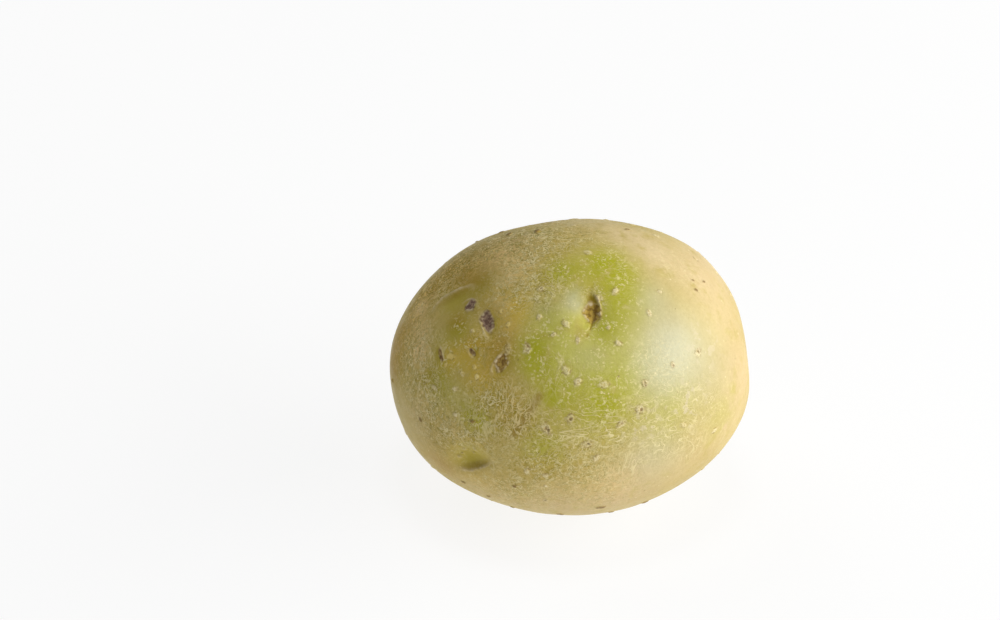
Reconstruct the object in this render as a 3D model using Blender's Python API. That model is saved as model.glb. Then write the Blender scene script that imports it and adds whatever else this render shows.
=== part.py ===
"""A potato: one tuber, grown as one piece, lying on a small flat spot of its belly.

+X runs along the tuber from its bud end to its stem end, +Y points to its far side and +Z up.
The origin lies on the surface that the potato rests on, under the middle of its box.
"""

import math

import bmesh
import bpy
from mathutils import Euler, Quaternion, Vector
from mathutils.bvhtree import BVHTree

# Driving dimensions, in metres
LENGTH = 0.080
WIDTH = 0.068
HEIGHT = 0.0645
FLAT_DEPTH = 0.0005  # how deep the resting spot is pressed into the belly

# How the tuber lies
LONG_AXIS_RISE = math.radians(3.0)  # the stem end is a little higher than the bud end
LONG_AXIS_TURN = math.radians(2.0)  # and turned a little towards the far side

# Faces along each of the twelve edges of the starting cube
GRID = 24
SNAP_TO_CUT = 0.0001  # points this near the resting plane are moved onto it

# Swellings (height above 0) and flatter places (below 0) of the whole tuber. Each is given by
# the direction in which it lies from the middle, its reach as an angle, and its height.
FORMS = {
    "stem_end_blunt": ((1.00, 0.03, 0.05), 15, -0.0016),
    "stem_shoulder_top": ((0.68, 0.41, 0.61), 17, 0.0010),
    "stem_shoulder_low": ((0.85, -0.28, -0.42), 20, 0.0004),
    "bud_end_blunt": ((-0.99, -0.04, -0.06), 16, -0.0004),
    "bud_end_flatter": ((-0.80, 0.34, 0.50), 22, -0.0004),
    "belly_flatter": ((-0.35, -0.52, -0.78), 26, -0.0007),
    "crown_flatter": ((-0.10, 0.56, 0.83), 18, -0.0006),
    "back_swelling": ((0.25, 0.90, -0.20), 26, 0.0012),
    "back_flatter": ((-0.35, 0.85, 0.25), 24, -0.0010),
}

# Eyes, each pressed in where a line from the long axis leaves the body: the place along the
# axis, the turn about it (0 is the near side, 90 the top, 180 the far side), the depth of the
# hollow, and the way its longer side lies (0 is across the tuber, 90 along it).
EYES = {
    "middle_eye": (0.0043, 52, 0.0010, 10),
    "bud_eye_upper": (-0.0225, 62, 0.0006, 40),
    "bud_eye_side": (-0.0170, 52, 0.0006, 15),
    "low_eye": (-0.0223, -9, 0.0008, 75),
    "crown_eye": (0.0140, 142, 0.0010, 10),
    "far_eye_high": (-0.0120, 158, 0.0010, -15),
    "far_eye_middle": (0.0190, 200, 0.0010, 5),
    "far_eye_low": (-0.0060, 226, 0.0010, 20),
    "bud_eye_far": (-0.0290, 190, 0.0008, -20),
    "belly_eye": (0.0190, 296, 0.0008, 10),
    "bud_eye_low": (-0.0280, 275, 0.0008, 15),
}
EYE_AXIS_HEIGHT = HEIGHT / 2
HOLLOW_REACH = 0.0036
HOLLOW_LONGER = 1.5  # a hollow is this much longer one way than the other
BROW_REACH = 0.0040
BROW_SHARE = 0.5  # height of the brow, as a share of the hollow's depth
BROW_OFFSET = 0.0050  # the brow stands this far towards the bud end

SKIN_COLOUR = (0.52, 0.43, 0.18, 1.0)
SKIN_ROUGHNESS = 0.5


def clear_scene():
    for thing in list(bpy.data.objects):
        bpy.data.objects.remove(thing, do_unlink=True)


def ball_of_squares():
    """A ball of radius 1 made from a cube's six faces, whose squares are all about one size."""
    bm = bmesh.new()
    bmesh.ops.create_cube(bm, size=2.0)
    bmesh.ops.subdivide_edges(bm, edges=bm.edges[:], cuts=GRID - 1, use_grid_fill=True)
    for vert in bm.verts:
        evened = Vector(math.tan(part * math.pi / 4) for part in vert.co)
        vert.co = evened.normalized()
    return bm


def soft_bump(distance, reach):
    """1 in the middle of a bump, fading smoothly to almost 0 at twice its reach."""
    return math.exp(-((distance / reach) ** 2))


def shape_body(bm):
    """The plain body: an ellipsoid, swollen and flattened here and there."""
    half = Vector((LENGTH, WIDTH, HEIGHT)) / 2
    lumps = [
        (Vector(way).normalized(), math.radians(reach), height)
        for way, reach, height in FORMS.values()
    ]
    for vert in bm.verts:
        outward = vert.co.copy()
        rise = sum(
            height * soft_bump(outward.angle(way), reach) for way, reach, height in lumps
        )
        vert.co = half * outward + outward * rise


def lay_down(bm):
    """Tilts the tuber as it lies and sets it over the origin, FLAT_DEPTH into the surface."""
    turned = Euler((0, -LONG_AXIS_RISE, LONG_AXIS_TURN)).to_matrix()
    bmesh.ops.rotate(bm, verts=bm.verts[:], cent=(0, 0, 0), matrix=turned)
    low, high = (
        Vector(pick(v.co[axis] for v in bm.verts) for axis in range(3)) for pick in (min, max)
    )
    middle = (low + high) / 2
    to_origin = Vector((-middle.x, -middle.y, -low.z - FLAT_DEPTH))
    bmesh.ops.translate(bm, verts=bm.verts[:], vec=to_origin)


def eye_frames(bm):
    """Middle, longer way, way towards the bud end, and depth of each eye."""
    body = BVHTree.FromBMesh(bm)
    frames = []
    for along, turn, depth, lie in EYES.values():
        turn = math.radians(turn)
        outward = Vector((0, -math.cos(turn), math.sin(turn)))
        middle, normal, _, _ = body.ray_cast(Vector((along, 0, EYE_AXIS_HEIGHT)), outward)
        bud_way = Vector((-1, 0, 0))
        bud_way = (bud_way - bud_way.dot(normal) * normal).normalized()
        across = normal.cross(bud_way)
        longer = Quaternion(normal, math.radians(lie)) @ across
        frames.append((middle, longer, bud_way, depth))
    return frames


def press_eyes(bm):
    """Each eye is a soft hollow, with a low brow beside it on the bud side."""
    bm.normal_update()
    rises = dict.fromkeys(bm.verts, 0.0)
    for middle, longer, bud_way, depth in eye_frames(bm):
        brow_middle = middle + BROW_OFFSET * bud_way
        for vert in bm.verts:
            offset = vert.co - middle
            shortened = offset - (1 - 1 / HOLLOW_LONGER) * offset.dot(longer) * longer
            brow = BROW_SHARE * soft_bump((vert.co - brow_middle).length, BROW_REACH)
            rises[vert] += depth * (brow - soft_bump(shortened.length, HOLLOW_REACH))
    moves = {vert: vert.normal * rise for vert, rise in rises.items()}
    for vert, move in moves.items():
        vert.co += move


def flatten_resting_spot(bm):
    """Cuts off what is below the surface and closes the cut with one flat face."""
    cut = bmesh.ops.bisect_plane(
        bm,
        geom=bm.verts[:] + bm.edges[:] + bm.faces[:],
        dist=SNAP_TO_CUT,
        plane_co=(0, 0, 0),
        plane_no=(0, 0, -1),
        clear_outer=True,
    )
    rim = [part for part in cut["geom_cut"] if isinstance(part, bmesh.types.BMEdge)]
    for vert in {v for edge in rim for v in edge.verts}:
        vert.co.z = 0.0
    bmesh.ops.contextual_create(bm, geom=rim)
    bmesh.ops.recalc_face_normals(bm, faces=bm.faces[:])


def skin_material():
    skin = bpy.data.materials.new("potato_skin")
    skin.use_nodes = True
    shader = skin.node_tree.nodes["Principled BSDF"]
    shader.inputs["Base Color"].default_value = SKIN_COLOUR
    shader.inputs["Roughness"].default_value = SKIN_ROUGHNESS
    shader.inputs["Metallic"].default_value = 0.0
    return skin


def make_potato_tuber():
    bm = ball_of_squares()
    shape_body(bm)
    lay_down(bm)
    press_eyes(bm)
    flatten_resting_spot(bm)
    mesh = bpy.data.meshes.new("potato_tuber")
    bm.to_mesh(mesh)
    bm.free()
    mesh.shade_smooth()
    mesh.materials.append(skin_material())
    tuber = bpy.data.objects.new("potato_tuber", mesh)
    bpy.context.scene.collection.objects.link(tuber)
    return tuber


clear_scene()
make_potato_tuber()
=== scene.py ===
# %% [markdown]
# # A potato with a little green in its skin
#
# A potato is a swollen underground stem. Its skin is a thin layer of cork over buff flesh, and
# almost everything that makes it look like a potato is in that skin: hollows with buds in them,
# round breathing spots, a fine net of cork lines, and patches that turned green in the light.
#
# This lesson starts from the plain solid that settles the potato's size and place, makes a fine
# skin mesh over it, models the eyes and spots into that mesh, and then paints the skin in layers
# that are worked out by formulas.

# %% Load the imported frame
import math

import bmesh
import bpy
import numpy as np
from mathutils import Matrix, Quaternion, Vector, noise
from mathutils.bvhtree import BVHTree
from mathutils.kdtree import KDTree


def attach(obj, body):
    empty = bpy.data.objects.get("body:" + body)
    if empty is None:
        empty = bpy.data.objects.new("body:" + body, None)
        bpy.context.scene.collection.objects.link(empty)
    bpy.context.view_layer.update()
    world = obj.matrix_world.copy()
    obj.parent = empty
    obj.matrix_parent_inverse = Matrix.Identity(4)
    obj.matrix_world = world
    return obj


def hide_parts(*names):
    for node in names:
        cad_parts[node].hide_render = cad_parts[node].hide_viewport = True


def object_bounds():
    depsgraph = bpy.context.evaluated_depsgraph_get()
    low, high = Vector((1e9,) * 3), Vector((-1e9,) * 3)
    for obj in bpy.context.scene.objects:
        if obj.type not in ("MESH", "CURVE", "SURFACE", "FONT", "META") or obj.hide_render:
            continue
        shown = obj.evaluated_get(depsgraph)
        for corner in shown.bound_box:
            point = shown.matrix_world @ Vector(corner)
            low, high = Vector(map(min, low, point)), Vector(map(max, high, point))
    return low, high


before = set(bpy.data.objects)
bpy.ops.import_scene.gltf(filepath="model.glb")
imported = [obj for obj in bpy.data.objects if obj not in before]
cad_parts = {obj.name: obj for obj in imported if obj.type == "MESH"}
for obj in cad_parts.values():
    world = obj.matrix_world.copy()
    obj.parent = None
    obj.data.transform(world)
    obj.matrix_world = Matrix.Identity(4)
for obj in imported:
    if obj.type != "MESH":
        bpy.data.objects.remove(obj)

MM = 0.001
solid_low, solid_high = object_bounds()
solid_size = solid_high - solid_low
middle = (solid_low + solid_high) / 2
print("solid, mm:", [round(side / MM, 1) for side in solid_size])

# %% [markdown]
# ## The skin mesh
#
# The solid has flat facets a few millimetres wide, too coarse for a skin seen close up. A ball
# made from a subdivided cube has squares that are nearly one size and no crowded poles, so it is
# a good net to throw over a round thing. Each of its points is sent outwards from the middle of
# the potato until it meets the solid. Smoothing then takes the facets out of the result.

# %% Throw a ball of squares over the solid
SQUARES_PER_EDGE = 88
FACET_SMOOTHING = 16

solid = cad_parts["potato_tuber"]
solid_surface = BVHTree.FromPolygons(
    [v.co.copy() for v in solid.data.vertices],
    [tuple(face.vertices) for face in solid.data.polygons],
)


def even_ball(squares_per_edge):
    ball = bmesh.new()
    bmesh.ops.create_cube(ball, size=2.0)
    bmesh.ops.subdivide_edges(
        ball, edges=ball.edges[:], cuts=squares_per_edge - 1, use_grid_fill=True
    )
    for vert in ball.verts:
        vert.co = Vector(math.tan(part * math.pi / 4) for part in vert.co).normalized()
    return ball


def meet_solid(start, way):
    return solid_surface.ray_cast(start, way.normalized())[0]


skin_mesh = even_ball(SQUARES_PER_EDGE)
for vert in skin_mesh.verts:
    vert.co = meet_solid(middle, vert.co * solid_size)
for _ in range(FACET_SMOOTHING):
    bmesh.ops.smooth_vert(
        skin_mesh,
        verts=skin_mesh.verts[:],
        factor=0.5,
        use_axis_x=True,
        use_axis_y=True,
        use_axis_z=True,
    )
skin_mesh.normal_update()
print("skin net:", len(skin_mesh.verts), "points")

# %% [markdown]
# ## Places on a tuber
#
# A grower would say where something is on a potato by how far along it lies and how far round.
# So each place here is two numbers: millimetres along the long axis from the middle, towards the
# stem end, and degrees round that axis, with 0 on the near side, 90 on top and 180 at the back.
# A line drawn outwards from the axis meets the skin at that place.

# %% Find a place on the skin
plain_points = KDTree(len(skin_mesh.verts))
for index, vert in enumerate(skin_mesh.verts):
    plain_points.insert(vert.co, index)
plain_points.balance()
plain_normals = [vert.normal.copy() for vert in skin_mesh.verts]


def on_skin(along, turn):
    """The point of the plain skin at a place, and the direction straight out of it."""
    turn = math.radians(turn)
    start = Vector((along * MM, middle.y, middle.z))
    spot = meet_solid(start, Vector((0, -math.cos(turn), math.sin(turn))))
    return spot, plain_normals[plain_points.find(spot)[1]]


print("top of the potato, mm:", [round(c / MM, 1) for c in on_skin(0, 90)[0]])

# %% [markdown]
# ## Eyes
#
# An eye is where a leaf once sat. It is a hollow, and along one side of it stands the brow, the
# torn scar of the leaf, which throws a small shadow into the hollow. Brown scab often covers the
# middle, and a streak may run on from it where the hollow closed up as the tuber swelled. Eyes
# follow a spiral round the tuber and crowd together at its bud end. No two are alike, so each
# one here has its own row: where it is, which way its brow lies, and its sizes in millimetres.

# %% Say what each eye is like
EYE_TRAITS = "along turn brow_way length width depth brow lit scab_along scab_wide bruise streak buds"
EYE_ROWS = {
    "middle_eye": (3.5, 56.5, 4, 7.0, 4.0, 0.80, 0.36, 0.35, 4.2, 3.8, 0.0, 7.5, 0),
    "bud_eye_hood": (-25.0, 67.0, 100, 9.6, 6.0, 0.55, 0.42, 0.62, 0.0, 0.0, 0.0, 0.0, 0),
    "bud_eye_upper": (-21.9, 62.6, 60, 3.6, 3.6, 0.25, 0.14, 0.35, 2.4, 3.0, 0.9, 0.0, 0),
    "bud_eye_side": (-17.2, 52.8, 195, 6.0, 3.6, 0.40, 0.20, 0.35, 5.0, 2.6, 0.9, 0.0, 0),
    "bud_eye_scar": (-14.8, 34.9, 150, 4.6, 3.2, 0.30, 0.16, 0.35, 3.9, 2.7, 0.2, 0.0, 0),
    "bud_eye_nick": (-20.8, 40.5, 215, 2.2, 1.7, 0.40, 0.10, 0.35, 2.0, 1.0, 0.5, 0.0, 0),
    "bud_eye_last": (-28.0, 40.5, 20, 3.0, 1.8, 0.35, 0.22, 0.35, 2.6, 1.0, 0.4, 0.0, 0),
    "low_eye": (-21.6, -9.6, -52, 9.8, 5.6, 1.10, 0.18, 0.74, 0.0, 0.0, 0.0, 0.0, 5),
    "crown_eye": (14.0, 142, 12, 6.2, 3.4, 0.90, 0.34, 0.35, 3.2, 2.4, 0.2, 5.0, 2),
    "far_eye_high": (-12.0, 158, -15, 6.0, 3.2, 0.80, 0.30, 0.35, 2.8, 2.2, 0.6, 4.0, 2),
    "far_eye_middle": (19.0, 200, 5, 6.4, 3.4, 0.90, 0.34, 0.35, 3.4, 2.4, 0.0, 6.0, 2),
    "far_eye_low": (-6.0, 226, 20, 6.0, 3.2, 0.80, 0.30, 0.35, 2.4, 2.0, 0.3, 4.0, 3),
    "bud_eye_far": (-29.0, 190, -20, 4.6, 2.8, 0.60, 0.24, 0.35, 2.8, 2.0, 0.9, 0.0, 1),
    "belly_eye": (19.0, 296, 10, 5.6, 3.2, 0.70, 0.26, 0.35, 2.6, 2.0, 0.2, 3.0, 2),
    "bud_eye_low": (-28.0, 275, 15, 4.6, 2.8, 0.60, 0.24, 0.35, 2.4, 1.8, 0.7, 0.0, 2),
}


def set_up_eye(row):
    """An eye's traits in metres, with its middle and the three directions it is built on."""
    eye = dict(zip(EYE_TRAITS.split(), row))
    eye["spot"], eye["out"] = on_skin(eye["along"], eye["turn"])
    stemward = Vector((1, 0, 0))
    stemward = (stemward - stemward.dot(eye["out"]) * eye["out"]).normalized()
    swing = Quaternion(eye["out"], math.radians(eye["brow_way"]))
    eye["browward"] = swing @ stemward
    eye["across"] = eye["out"].cross(eye["browward"])
    for trait in ("length", "width", "depth", "brow", "scab_along", "scab_wide", "streak"):
        eye[trait] *= MM
    return eye


eyes = {name: set_up_eye(row) for name, row in EYE_ROWS.items()}
print("eyes:", ", ".join(eyes))

# %% [markdown]
# ## Lenticels
#
# Lenticels are the spots that a tuber breathes through: crusty buttons of pale cork about a
# millimetre across. On some the cork has broken open and shows a brown heart, and some are only
# a little brown crumb. The ones that stand out are placed one by one, and the rest are scattered
# over the sides that have none yet, no closer to each other than a set gap, which is how they
# spread out on a real tuber.

# %% Place the lenticels
LENTICEL_GAP = 5.5 * MM
LENTICEL_WIDTHS = (0.7, 1.5)
LONGEST_LENTICEL = 1.7  # the longest are this much longer than wide
LEAST_FRESH = 0.6  # the palest are 1
SCATTER_TRIES = 600
FAR_SIDES = (102, 318)
END_TO_END = 37
CLEAR_OF_FLAT = 2 * MM  # none on the flat resting spot
PALE = "pale"
RINGED = "ringed"
DARK = "dark"
lenticel_rows = [
    # over the crown and round the middle eye
    (3.5, 83, 1.3, PALE), (9, 64, 1.2, PALE), (-7, 53, 1.1, PALE), (-1.5, 50, 1.4, PALE),
    (-6.5, 65, 1.1, RINGED), (16, 56, 1.0, PALE), (5.5, 61, 1.2, PALE), (9.5, 43, 1.1, PALE),
    (7.5, 49, 0.8, PALE), (1, 44, 0.9, RINGED), (-4, 46, 0.8, PALE), (18.5, 67, 0.8, PALE),
    # across the near side
    (-9.5, 41, 1.6, RINGED), (-1.5, 33, 1.4, PALE), (1, 29, 1.3, PALE), (6.5, 28, 1.5, PALE),
    (-0.5, 16, 1.5, RINGED), (-5.5, 12, 1.7, RINGED), (14, 18, 1.8, RINGED), (15, 28, 1.3, RINGED),
    (10, 13, 1.3, RINGED), (3, 6, 1.6, RINGED), (5, 0, 1.2, PALE), (-9.5, -7, 1.0, PALE),
    (-5.5, -8, 1.1, PALE), (-5.5, -14, 0.8, PALE), (21, 35, 0.9, RINGED),
    # towards the stem end
    (26.5, 41, 1.4, RINGED), (23.5, 8, 1.1, PALE), (30.5, -4, 1.2, PALE), (26.5, 75, 0.8, DARK),
    (26, 81, 0.6, DARK), (28.5, 85, 0.6, DARK),
    # towards the bud end
    (-25.5, 39, 1.4, PALE), (-26.5, 35, 0.9, PALE), (-23, 31, 0.8, PALE), (-20, 30, 0.9, PALE),
    (-20.5, 34, 0.8, PALE), (-21, 50, 0.9, RINGED), (-29, 23, 1.1, PALE), (-24.5, 24, 1.0, PALE),
    (-24.5, 12, 1.0, PALE), (-21, 11, 0.9, DARK), (-13.5, 41, 1.3, RINGED), (-38.5, 9, 0.9, DARK),
    (-15, 57, 0.8, PALE), (-13.5, 51, 0.9, PALE), (-32, 0, 0.8, DARK),
    # under the near side
    (6.5, -32, 1.4, DARK), (-2, -41, 1.4, DARK), (-12, -17, 0.9, DARK), (-17.5, -34, 1.0, DARK),
    (-23, -30, 1.0, DARK), (-5.5, -24, 1.0, RINGED), (-12.5, -42, 0.9, DARK),
]
shape_dice = np.random.default_rng(23)


def set_up_lenticel(along, turn, width, kind):
    spot, out = on_skin(along, turn)
    lie = Quaternion(out, shape_dice.uniform(0, math.pi))
    return {
        "spot": spot,
        "longer": lie @ out.orthogonal().normalized(),
        "stretch": shape_dice.uniform(1.0, LONGEST_LENTICEL),
        "fresh": shape_dice.uniform(LEAST_FRESH, 1.0),
        "radius": width * MM / 2,
        "kind": kind,
    }


lenticels = [set_up_lenticel(*row) for row in lenticel_rows]
placed_by_hand = len(lenticels)
dice = np.random.default_rng(7)
for _ in range(SCATTER_TRIES):
    along = dice.uniform(-END_TO_END, END_TO_END)
    turn = dice.uniform(*FAR_SIDES)
    width = dice.uniform(*LENTICEL_WIDTHS)
    kind = dice.choice([PALE, PALE, RINGED, DARK])
    spot = on_skin(along, turn)[0]
    eye_near = min((spot - eye["spot"]).length for eye in eyes.values())
    spot_near = min((spot - other["spot"]).length for other in lenticels)
    if spot_near > LENTICEL_GAP and eye_near > LENTICEL_GAP and spot.z > CLEAR_OF_FLAT:
        lenticels.append(set_up_lenticel(along, turn, width, str(kind)))
print("lenticels:", placed_by_hand, "placed and", len(lenticels) - placed_by_hand, "scattered")

# %% [markdown]
# ## More points where the detail is
#
# The net's squares are half a millimetre wide, which is fine for the broad skin but not for the
# torn edge of a scab. Splitting every square of the whole net would waste points on plain skin,
# so only the squares round the eyes and lenticels are split, once or twice.

# %% Split the squares round eyes and lenticels
EYE_REACH = 4.6 * MM
SCAB_REACH = 2.6 * MM
LENTICEL_MARGIN = 0.35 * MM


def split_squares(places):
    """Halves every edge of the faces within reach of the places, given as (spot, reach)."""
    faces = skin_mesh.faces[:]
    centres = KDTree(len(faces))
    for index, face in enumerate(faces):
        centres.insert(face.calc_center_median(), index)
    centres.balance()
    chosen = {index for spot, reach in places for _, index, _ in centres.find_range(spot, reach)}
    edges = {edge for index in chosen for edge in faces[index].edges}
    bmesh.ops.subdivide_edges(skin_mesh, edges=list(edges), cuts=1, use_grid_fill=True)


lenticel_places = [
    (lenticel["spot"], lenticel["radius"] + LENTICEL_MARGIN) for lenticel in lenticels
]
split_squares([(eye["spot"], EYE_REACH) for eye in eyes.values()] + lenticel_places)
split_squares([(eye["spot"], SCAB_REACH) for eye in eyes.values()] + lenticel_places)
skin_mesh.normal_update()
print("after splitting:", len(skin_mesh.verts), "points")

# %% [markdown]
# ## Shaping the skin
#
# From here on the points are numbers in arrays, so one line of sums moves them all. Each feature
# gives a rise, the height it adds above the plain skin, and all the rises are added up before
# anything moves. At the same time each feature leaves a mask, 1 where it is and 0 elsewhere,
# for the paint to find later.

# %% Arrays of the skin's points
points = np.array([vert.co for vert in skin_mesh.verts])
outward = np.array([vert.normal for vert in skin_mesh.verts])
rise = np.zeros(len(points))
FEATURES = ("hollow", "shaded", "brow", "scab", "bruise", "flake", "button", "halo", "heart")
masks = {name: np.zeros(len(points)) for name in FEATURES}
LARGEST_POWER = 30  # e to a far larger power would overflow


def soft(distance, reach):
    """1 at no distance, fading smoothly to almost 0 at twice the reach."""
    return np.exp(-((distance / reach) ** 2))


def crisp(distance, edge, softness):
    """1 below the edge and 0 above it, with a short soft step between."""
    past_edge = np.clip((distance - edge) / softness, -LARGEST_POWER, LARGEST_POWER)
    return 1 / (1 + np.exp(past_edge))


def lumps(where, size, seed):
    """Smooth random lumps of about that size, from -1 to 1, at some of the points."""
    shift = Vector((seed, -seed, 2 * seed))
    return np.array([noise.noise(Vector(p) / size + shift) for p in points[where]])


def mark(name, where, values):
    """Adds a feature to a mask, without making what is there already weaker."""
    masks[name][where] = np.maximum(masks[name][where], np.clip(values, 0, 1))


BROAD_SIZE = 14 * MM
BROAD_HEIGHT = 0.16 * MM
SMALL_SIZE = 4.5 * MM
SMALL_HEIGHT = 0.06 * MM
everywhere = np.arange(len(points))
rise += BROAD_HEIGHT * lumps(everywhere, BROAD_SIZE, seed=3.1)
rise += SMALL_HEIGHT * lumps(everywhere, SMALL_SIZE, seed=8.4)
print("unevenness, mm:", round(rise.min() / MM, 2), "to", round(rise.max() / MM, 2))

# %% [markdown]
# ## Hollow and brow
#
# A hollow that had the same slope all round would look like a thumb print, so the outlines are
# warped with lumps of noise. `around` grows from 0 on the hollow's deepest line to 1 at its edge.
# The brow is an arc just outside that edge on one side, thin and uneven like torn paper. On the
# same side the hollow lies in shade.

# %% Hollow and brow
EYE_FIELD = 9 * MM  # an eye changes the skin no further out than this
DEEPEST = 0.16  # the deepest line lies this share of the width towards the brow
HOLLOW_STEEPNESS = 2.4
HOLLOW_WARP = 0.13
SHADE_EDGE = 0.92
SHADE_SOFTNESS = 0.10
SHADE_FADE = 0.28  # the shade sets in over this share of the width
SHADED_DEPTH = 0.8 * MM  # a hollow this deep is in full shade
BROW_OUT = 1.15
BROW_REACH = 0.34 * MM
BROW_SPREAD = 1.6  # how far the brow goes round the hollow
BROW_ENDS = 0.2  # and how early it thins out at its ends
BROW_EVEN = 0.75
BROW_TORN = 0.7
TALLEST_BROW = 1.3
BROW_GRIT = 0.35
FULL_BROW = 0.2 * MM  # a brow this high is fully scuffed
MIDDLE_GUARD = 0.05 * MM  # keeps a division finite at the eye's very middle


def sink_hollow(eye, near, across, browward, noises):
    """The rise of an eye's hollow and brow, at the points near it."""
    warp, tears, grit = noises
    from_deepest = browward - DEEPEST * eye["width"]
    slope_width = np.where(from_deepest > 0, 1 - 2 * DEEPEST, 1 + 2 * DEEPEST) * eye["width"]
    around = 2 * np.hypot(across / eye["length"], from_deepest / slope_width)
    around = around * (1 + HOLLOW_WARP * warp)
    hollow = np.exp(-(around**HOLLOW_STEEPNESS))
    mark("hollow", near, hollow)

    past_lit = browward / eye["width"] + 0.5 - eye["lit"]
    shaded = crisp(around, SHADE_EDGE, SHADE_SOFTNESS) * np.clip(past_lit / SHADE_FADE, 0, 1)
    mark("shaded", near, shaded * min(1, eye["depth"] / SHADED_DEPTH) ** 2)

    brow_side = browward / (np.hypot(across, browward) + MIDDLE_GUARD)
    past_edge = (around - BROW_OUT) * eye["width"] / 2
    brow = soft(past_edge, BROW_REACH) * np.clip(BROW_SPREAD * brow_side - BROW_ENDS, 0, 1)
    brow = brow * np.clip(BROW_EVEN + BROW_TORN * tears, 0, TALLEST_BROW)
    mark("brow", near, brow * min(1, eye["brow"] / FULL_BROW))
    return eye["brow"] * brow * (1 + BROW_GRIT * grit) - eye["depth"] * hollow


print("an eye is shaped up to", round(EYE_FIELD / MM), "mm from its middle")

# %% [markdown]
# ## Scab, streak and buds
#
# The scab has a crisp, torn edge that curls up, and a rough top. The streak is a groove that bends
# a little and runs out to a point. Buds are small round bumps in a row, on the lit side.

# %% Scab, streak and buds
SCAB_ASIDE = 0.08  # the scab lies this share of the eye's length to one side
SCAB_SIDE = 0.10  # and this share of its width towards the brow
SCAB_EDGE = 0.08
SCAB_WARP = 0.35
SCAB_TORN = 0.25
SCAB_ROUGH = 0.07 * MM
SCAB_THICK = 0.3
SCAB_GRIT = 0.4
SCAB_CURL = 0.10 * MM
CURL_OUT = 0.95
CURL_REACH = 0.16
CURL_EVEN = 0.4
CURL_TORN = 1.6
STREAK_REACH = 0.30 * MM
STREAK_DEPTH = 0.30 * MM
STREAK_BEND = 0.05
STREAK_SIDE = 0.22  # it starts this share of the width towards the brow
STREAK_TAPER = 1.2
STREAK_ONSET = 4  # it is at full depth a quarter of the way along
STREAK_END = 0.85
STREAK_END_SOFTNESS = 0.06
BUD_REACH = 0.46 * MM
BUD_HEIGHT = 0.36 * MM
BUD_PALE = 0.5
BUD_ROW = 0.55  # the row of buds is this share of the eye's length
BUD_SIDE = -0.27
BUD_SWAY = 0.6  # how far the buds stray from a straight row
BUD_SWAY_STEP = 4.1
BUD_SIZE = 0.8
BUD_SIZE_SWING = 0.3
BUD_SIZE_STEP = 3


def lay_scab(eye, near, across, browward, noises):
    warp, tears, grit = noises
    scab_across = (across + SCAB_ASIDE * eye["length"]) / eye["scab_along"]
    scab_browward = (browward - SCAB_SIDE * eye["width"]) / eye["scab_wide"]
    around = 2 * np.hypot(scab_across, scab_browward) + SCAB_WARP * warp + SCAB_TORN * tears
    scab = crisp(around, 1.0, SCAB_EDGE)
    curl = soft(around - CURL_OUT, CURL_REACH) * np.clip(CURL_EVEN + CURL_TORN * tears, 0, 1)
    mark("scab", near, scab)
    mark("bruise", near, scab * eye["bruise"])
    mark("flake", near, curl)
    return SCAB_ROUGH * scab * (SCAB_THICK + tears + SCAB_GRIT * grit) + SCAB_CURL * curl


def cut_streak(eye, near, across, browward):
    along_streak = np.clip(-across / eye["streak"], 0, 1)
    aside = browward - STREAK_SIDE * eye["width"] + STREAK_BEND * across**2 / MM
    streak = soft(aside, STREAK_REACH * (STREAK_TAPER - along_streak))
    streak = streak * np.clip(STREAK_ONSET * along_streak, 0, 1)
    streak = streak * crisp(along_streak, STREAK_END, STREAK_END_SOFTNESS)
    mark("shaded", near, streak)
    return -STREAK_DEPTH * streak


def set_bud(eye, near, across, browward, bud, seed):
    from_middle = bud - (eye["buds"] - 1) / 2
    bud_across = from_middle * BUD_ROW * eye["length"] / max(eye["buds"] - 1, 1)
    sway = 1 + BUD_SWAY * math.sin(BUD_SWAY_STEP * bud + seed)
    bud_browward = BUD_SIDE * eye["width"] * sway
    from_bud = np.hypot(across - bud_across, browward - bud_browward)
    bud_size = BUD_SIZE + BUD_SIZE_SWING * math.cos(BUD_SIZE_STEP * bud)
    bud_shape = soft(from_bud, BUD_REACH * bud_size)
    mark("flake", near, BUD_PALE * bud_shape)
    return BUD_HEIGHT * bud_shape


print("eyes with a scab:", sum(1 for eye in eyes.values() if eye["scab_along"]))

# %% [markdown]
# ## All the eyes
#
# Each eye is worked on only where it changes the skin, so the sums stay short. The noises that
# warp and tear it are made once for all its parts, and so the brow and the scab are torn in the
# same places. Each eye has its own seed, which keeps any two of them from looking alike.

# %% Sink all the eyes
WARP_SIZE = 1.7 * MM
TEAR_SIZE = 0.7 * MM
GRIT_SIZE = 0.32 * MM
FIRST_EYE_SEED = 11.0
TEAR_SEED = 5
GRIT_SEED = 9


def press_eye(eye, seed):
    offset = points - np.array(eye["spot"])
    near = np.flatnonzero((offset**2).sum(axis=1) < EYE_FIELD**2)
    across = offset[near] @ np.array(eye["across"])
    browward = offset[near] @ np.array(eye["browward"])
    noises = (
        lumps(near, WARP_SIZE, seed),
        lumps(near, TEAR_SIZE, seed + TEAR_SEED),
        lumps(near, GRIT_SIZE, seed + GRIT_SEED),
    )
    rise[near] += sink_hollow(eye, near, across, browward, noises)
    if eye["scab_along"]:
        rise[near] += lay_scab(eye, near, across, browward, noises)
    if eye["streak"]:
        rise[near] += cut_streak(eye, near, across, browward)
    for bud in range(eye["buds"]):
        rise[near] += set_bud(eye, near, across, browward, bud, seed)


for number, eye in enumerate(eyes.values()):
    press_eye(eye, FIRST_EYE_SEED + number)
print("deepest point, mm:", round(rise.min() / MM, 2))

# %% [markdown]
# ## Buttons of cork
#
# A lenticel is made like a tiny scab: a button with a crisp, uneven edge and a crusty top. Its
# halo is a thin brown line where the button meets the skin, darker on some sides than others,
# which is partly brown cork and partly painted shadow at the button's foot.
# The dark kind is a raised crumb of brown scab.

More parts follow.
